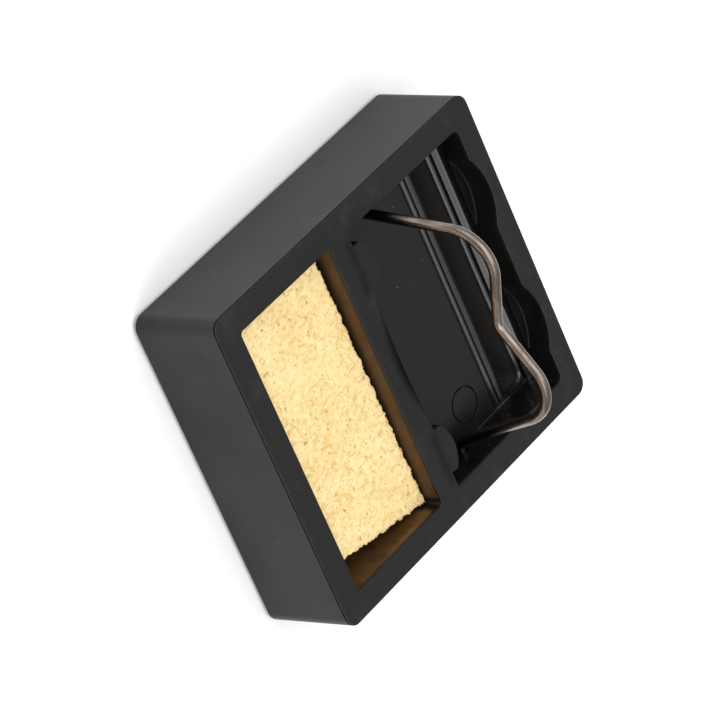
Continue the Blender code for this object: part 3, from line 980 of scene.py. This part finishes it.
def sponge_plan(u, v, torn):
    """A point of the plan: the four corners blended by u and v, and pulled in towards the middle
    by a torn amount that fades away from the edges, strong at the back and right, weak at the
    cut front and left."""
    a, b, c, d = SPONGE_CORNERS
    u, v = u[..., None], v[..., None]
    plan = a * (1 - u) * (1 - v) + b * u * (1 - v) + c * u * v + d * (1 - u) * v
    spot = on_the_flat(plan) * 1500
    bite = ease(0.25, 0.75, 0.5 + 0.5 * layered(spot, 11, 4))
    fine = 0.5 + 0.5 * layered(spot * 2.6, 31, 3)
    ragged = torn * (0.7 * bite + 0.3 * fine)
    u, v = u[..., 0], v[..., 0]
    pull_y = ragged * (0.25 * (1 - v) ** 6 - v**6)
    pull_x = ragged * (0.3 * (1 - u) ** 10 - u**10)
    return plan + np.stack([pull_x, pull_y], axis=-1)


def face_relief(plan, relief):
    """How far each point of the face is sunk: broad waves, flakes from the distance to scattered
    seeds, thin fibres where warped noise is near zero, and pores round some of the seeds."""
    spot = on_the_flat(plan)
    warp = np.stack([lumps(spot * 500, 40 + k) for k in range(3)], axis=-1) * 0.5 * MM
    broad = layered(spot * 120, 51, 3)
    flake, _ = nearest_seed((spot + warp) * 850, 61)
    fibre = np.abs(layered((spot + 2 * warp) * (900, 420, 1), 71, 3))
    pore, number = nearest_seed((spot + warp) * 520, 81)
    pore_depth = (1 - ease(0.1, 0.3, pore)) * (number > 0.62) * (0.5 + 0.5 * number)
    fine = layered(spot * 3400, 91, 2)
    waves = 0.35 * broad + 0.55 * (flake - 0.45) - 0.35 * (1 - ease(0.0, 0.16, fibre)) + 0.12 * fine
    return relief * (0.55 + 0.5 * waves + 1.5 * pore_depth), pore_depth


def sponge_mesh(sizes, across=340, back=160, levels=22):
    """A closed surface: the face is a grid whose height is the top less the relief, and its
    border is carried down the sides, where noise moves it in and out, to a flat bottom."""
    low, high = SPONGE_LOW.z, SPONGE_HIGH.z
    u, v = np.meshgrid(np.linspace(0, 1, across), np.linspace(0, 1, back), indexing="ij")
    plan = sponge_plan(u, v, sizes.torn)
    sunk, pore = face_relief(plan, sizes.relief)
    edge = np.minimum(np.minimum(u, 1 - u) * 60, np.minimum(v, 1 - v) * 29)
    crumbled = 0.5 + 0.5 * layered(on_the_flat(plan) * 700, 101, 3)
    sunk = sunk + MM * (0.05 + 0.4 * crumbled) * (1 - ease(0, 0.7, edge)) ** 2
    face = np.concatenate([plan, (high - sunk)[..., None]], axis=-1)

    number = np.arange(across * back).reshape(across, back)
    border = np.concatenate([number[:-1, 0], number[-1, :-1], number[:0:-1, -1], number[0, :0:-1]])
    faces = grid_faces(across, back, wrap_columns=False)[:, ::-1].tolist()
    ring_top = face.reshape(-1, 3)[border]
    count = len(border)
    fall = np.linspace(0, 1, levels + 1)[1:, None]
    sides = np.zeros((levels, count, 3))
    sides[..., :2] = ring_top[None, :, :2]
    sides[..., 2] = ring_top[None, :, 2] * (1 - fall) + low * fall
    centre = ring_top[:, :2].mean(axis=0)
    inward = centre - ring_top[:, :2]
    inward /= np.linalg.norm(inward, axis=-1, keepdims=True)
    bumps = layered(sides * 800, 111, 4)
    holes, _ = nearest_seed(sides * 620, 121)
    depth = MM * (0.2 + 0.22 * bumps + 0.4 * (1 - ease(0.12, 0.4, holes)))
    depth = depth * ease(0, 0.12, fall)
    sides[..., :2] += inward[None] * np.clip(depth, 0, None)[..., None]

    points = np.concatenate([face.reshape(-1, 3), sides.reshape(-1, 3)])
    below = across * back + np.arange(levels * count).reshape(levels, count)
    rings = np.concatenate([border[None], below])
    here, on = rings[:-1], np.roll(rings, -1, axis=1)[:-1]
    down, down_on = rings[1:], np.roll(rings, -1, axis=1)[1:]
    faces += np.stack([here, down, down_on, on], axis=-1).reshape(-1, 4).tolist()
    faces.append(rings[-1][::-1].tolist())
    mesh = new_mesh("sponge_pad", points, faces)
    # The sunk attribute carries painted shade: the material darkens the pores of the face and the
    # pits in the sides by it.
    sunk_in = np.concatenate([pore.ravel(), np.clip(depth / MM, 0, 1).ravel() * 0.6])
    mesh.attributes.new("sunk", "FLOAT", "POINT").data.foreach_set("value", sunk_in)
    return mesh


class IRONSTAND_OT_sponge(bpy.types.Operator):
    """Lay the cleaning sponge in the well"""

    bl_idname = "ironstand.sponge"
    bl_label = "Sponge"

    def execute(self, context):
        sizes = context.scene.iron_stand.sponge
        pad = new_object("sponge_pad", sponge_mesh(sizes))
        shaded(pad, math.radians(180))
        fitted(pad, dry_cellulose(sizes), "pad", "cellulose_sponge", "sponge")
        return {"FINISHED"}


# ---------------------------------------------------------------- the feet


class IRONSTAND_OT_feet(bpy.types.Operator):
    """Stick four rubber feet under the tray"""

    bl_idname = "ironstand.feet"
    bl_label = "Feet"

    def execute(self, context):
        rubber = foot_rubber(context.scene.iron_stand.foot)
        radius = (FOOT_HIGH.x - FOOT_LOW.x) / 2
        low, high = 0.5 * MM, 0.15 * MM
        profile = rounding(-low, low, low, -90, 0)
        profile += rounding(-high, FOOT_HIGH.z - high, high, 0, 90, 3)
        for node, x, y in foot_centres():
            foot = raised(f"{node}_rubber", arc(x, y, radius, 0, 360, 64)[:-1], profile)
            flats_kept_flat(shaded(foot))
            fitted(foot, rubber, "tray", "foot_rubber", node)
        return {"FINISHED"}


# ---------------------------------------------------------------- floor, lights and camera

FLOOR_REACH = 3.0
CAMERA_PLACE = (-0.40339, -0.54504, 0.64604)
CAMERA_TURN = (-36.58, 43.17, 92.88)
LENS_MM, SENSOR_MM = 220.77, 36.0


def turned_to(azimuth, elevation, roll):
    """Axes of a camera that looks along an azimuth, down by an elevation, and is rolled about
    its own line of sight, as a 3 by 3 matrix. All angles are in degrees."""
    a, e, r = (math.radians(angle) for angle in (azimuth, elevation, roll))
    back = np.array([math.sin(a) * math.cos(e), -math.cos(a) * math.cos(e), math.sin(e)])
    level = np.array([math.cos(a), math.sin(a), 0.0])
    upright = np.cross(back, level)
    right = math.cos(r) * level + math.sin(r) * upright
    return Matrix(np.stack([right, np.cross(back, right), back], axis=-1).tolist())


def area_light(name, size, power, place, azimuth, elevation):
    """A square lamp at a place, which shines from an azimuth and an elevation."""
    lamp = bpy.data.lights.new(name, "AREA")
    lamp.shape, lamp.size, lamp.energy = "SQUARE", size, power
    light = new_object(name, lamp)
    light.matrix_world = Matrix.Translation(place) @ turned_to(azimuth, elevation, 0).to_4x4()
    return light


class IRONSTAND_OT_stage(bpy.types.Operator):
    """Set the floor, the soft lights and the camera"""

    bl_idname = "ironstand.stage"
    bl_label = "Stage"

    def execute(self, context):
        sizes = context.scene.iron_stand.stage
        corners = np.array([(-1, -1, 0), (1, -1, 0), (1, 1, 0), (-1, 1, 0)]) * FLOOR_REACH
        floor = new_object("floor", new_mesh("floor", corners, [[0, 1, 2, 3]]))
        floor.data.materials.append(painted_floor(sizes))

        world = bpy.data.worlds.new("soft_sky")
        world.use_nodes = True
        glow = world.node_tree.nodes["Background"].inputs
        glow["Color"].default_value = (1, 1, 1, 1)
        glow["Strength"].default_value = sizes.sky
        context.scene.world = world
        context.scene.view_settings.view_transform = "Standard"
        area_light("overhead", 1.0, sizes.key, (-0.12, -0.18, 1.0), 0, 90)
        area_light("front", 0.5, sizes.front, (0.4, -0.53, 0.62), 37, 43)
        area_light("side", 0.7, sizes.side, (-0.75, -0.15, 0.45), -80, 30)

        lens = bpy.data.cameras.new("camera")
        lens.lens, lens.sensor_width = LENS_MM, SENSOR_MM
        lens.clip_start, lens.clip_end = 0.05, 20.0
        camera = new_object("camera", lens)
        camera.matrix_world = Matrix.Translation(CAMERA_PLACE) @ turned_to(*CAMERA_TURN).to_4x4()
        context.scene.camera = camera
        return {"FINISHED"}


# ---------------------------------------------------------------- panel and start


class IRONSTAND_PT_panel(bpy.types.Panel):
    """Lists the stand's pieces and their sizes"""

    bl_idname = "IRONSTAND_PT_panel"
    bl_label = "Iron Stand"
    bl_space_type = "VIEW_3D"
    bl_region_type = "UI"
    bl_category = "Iron Stand"

    def draw(self, context):
        stand = context.scene.iron_stand
        for group, operator in (("tray", IRONSTAND_OT_tray), ("cradle", IRONSTAND_OT_cradle),
                                ("sponge", IRONSTAND_OT_sponge), ("foot", IRONSTAND_OT_feet),
                                ("stage", IRONSTAND_OT_stage)):
            box = self.layout.box()
            box.operator(operator.bl_idname)
            sizes = getattr(stand, group)
            for name in type(sizes).__annotations__:
                box.prop(sizes, name)


CLASSES = (
    TraySizes, CradleSizes, SpongeSizes, FootSizes, StageSizes, StandSizes,
    IRONSTAND_OT_tray, IRONSTAND_OT_cradle, IRONSTAND_OT_sponge, IRONSTAND_OT_feet,
    IRONSTAND_OT_stage, IRONSTAND_PT_panel,
)


def register():
    for cls in CLASSES:
        bpy.utils.register_class(cls)
    bpy.types.Scene.iron_stand = PointerProperty(type=StandSizes)


def unregister():
    del bpy.types.Scene.iron_stand
    for cls in reversed(CLASSES):
        bpy.utils.unregister_class(cls)


def main():
    register()
    bpy.ops.ironstand.tray()
    bpy.ops.ironstand.cradle()
    bpy.ops.ironstand.sponge()
    bpy.ops.ironstand.feet()
    bpy.ops.ironstand.stage()


if __name__ == "__main__":
    main()
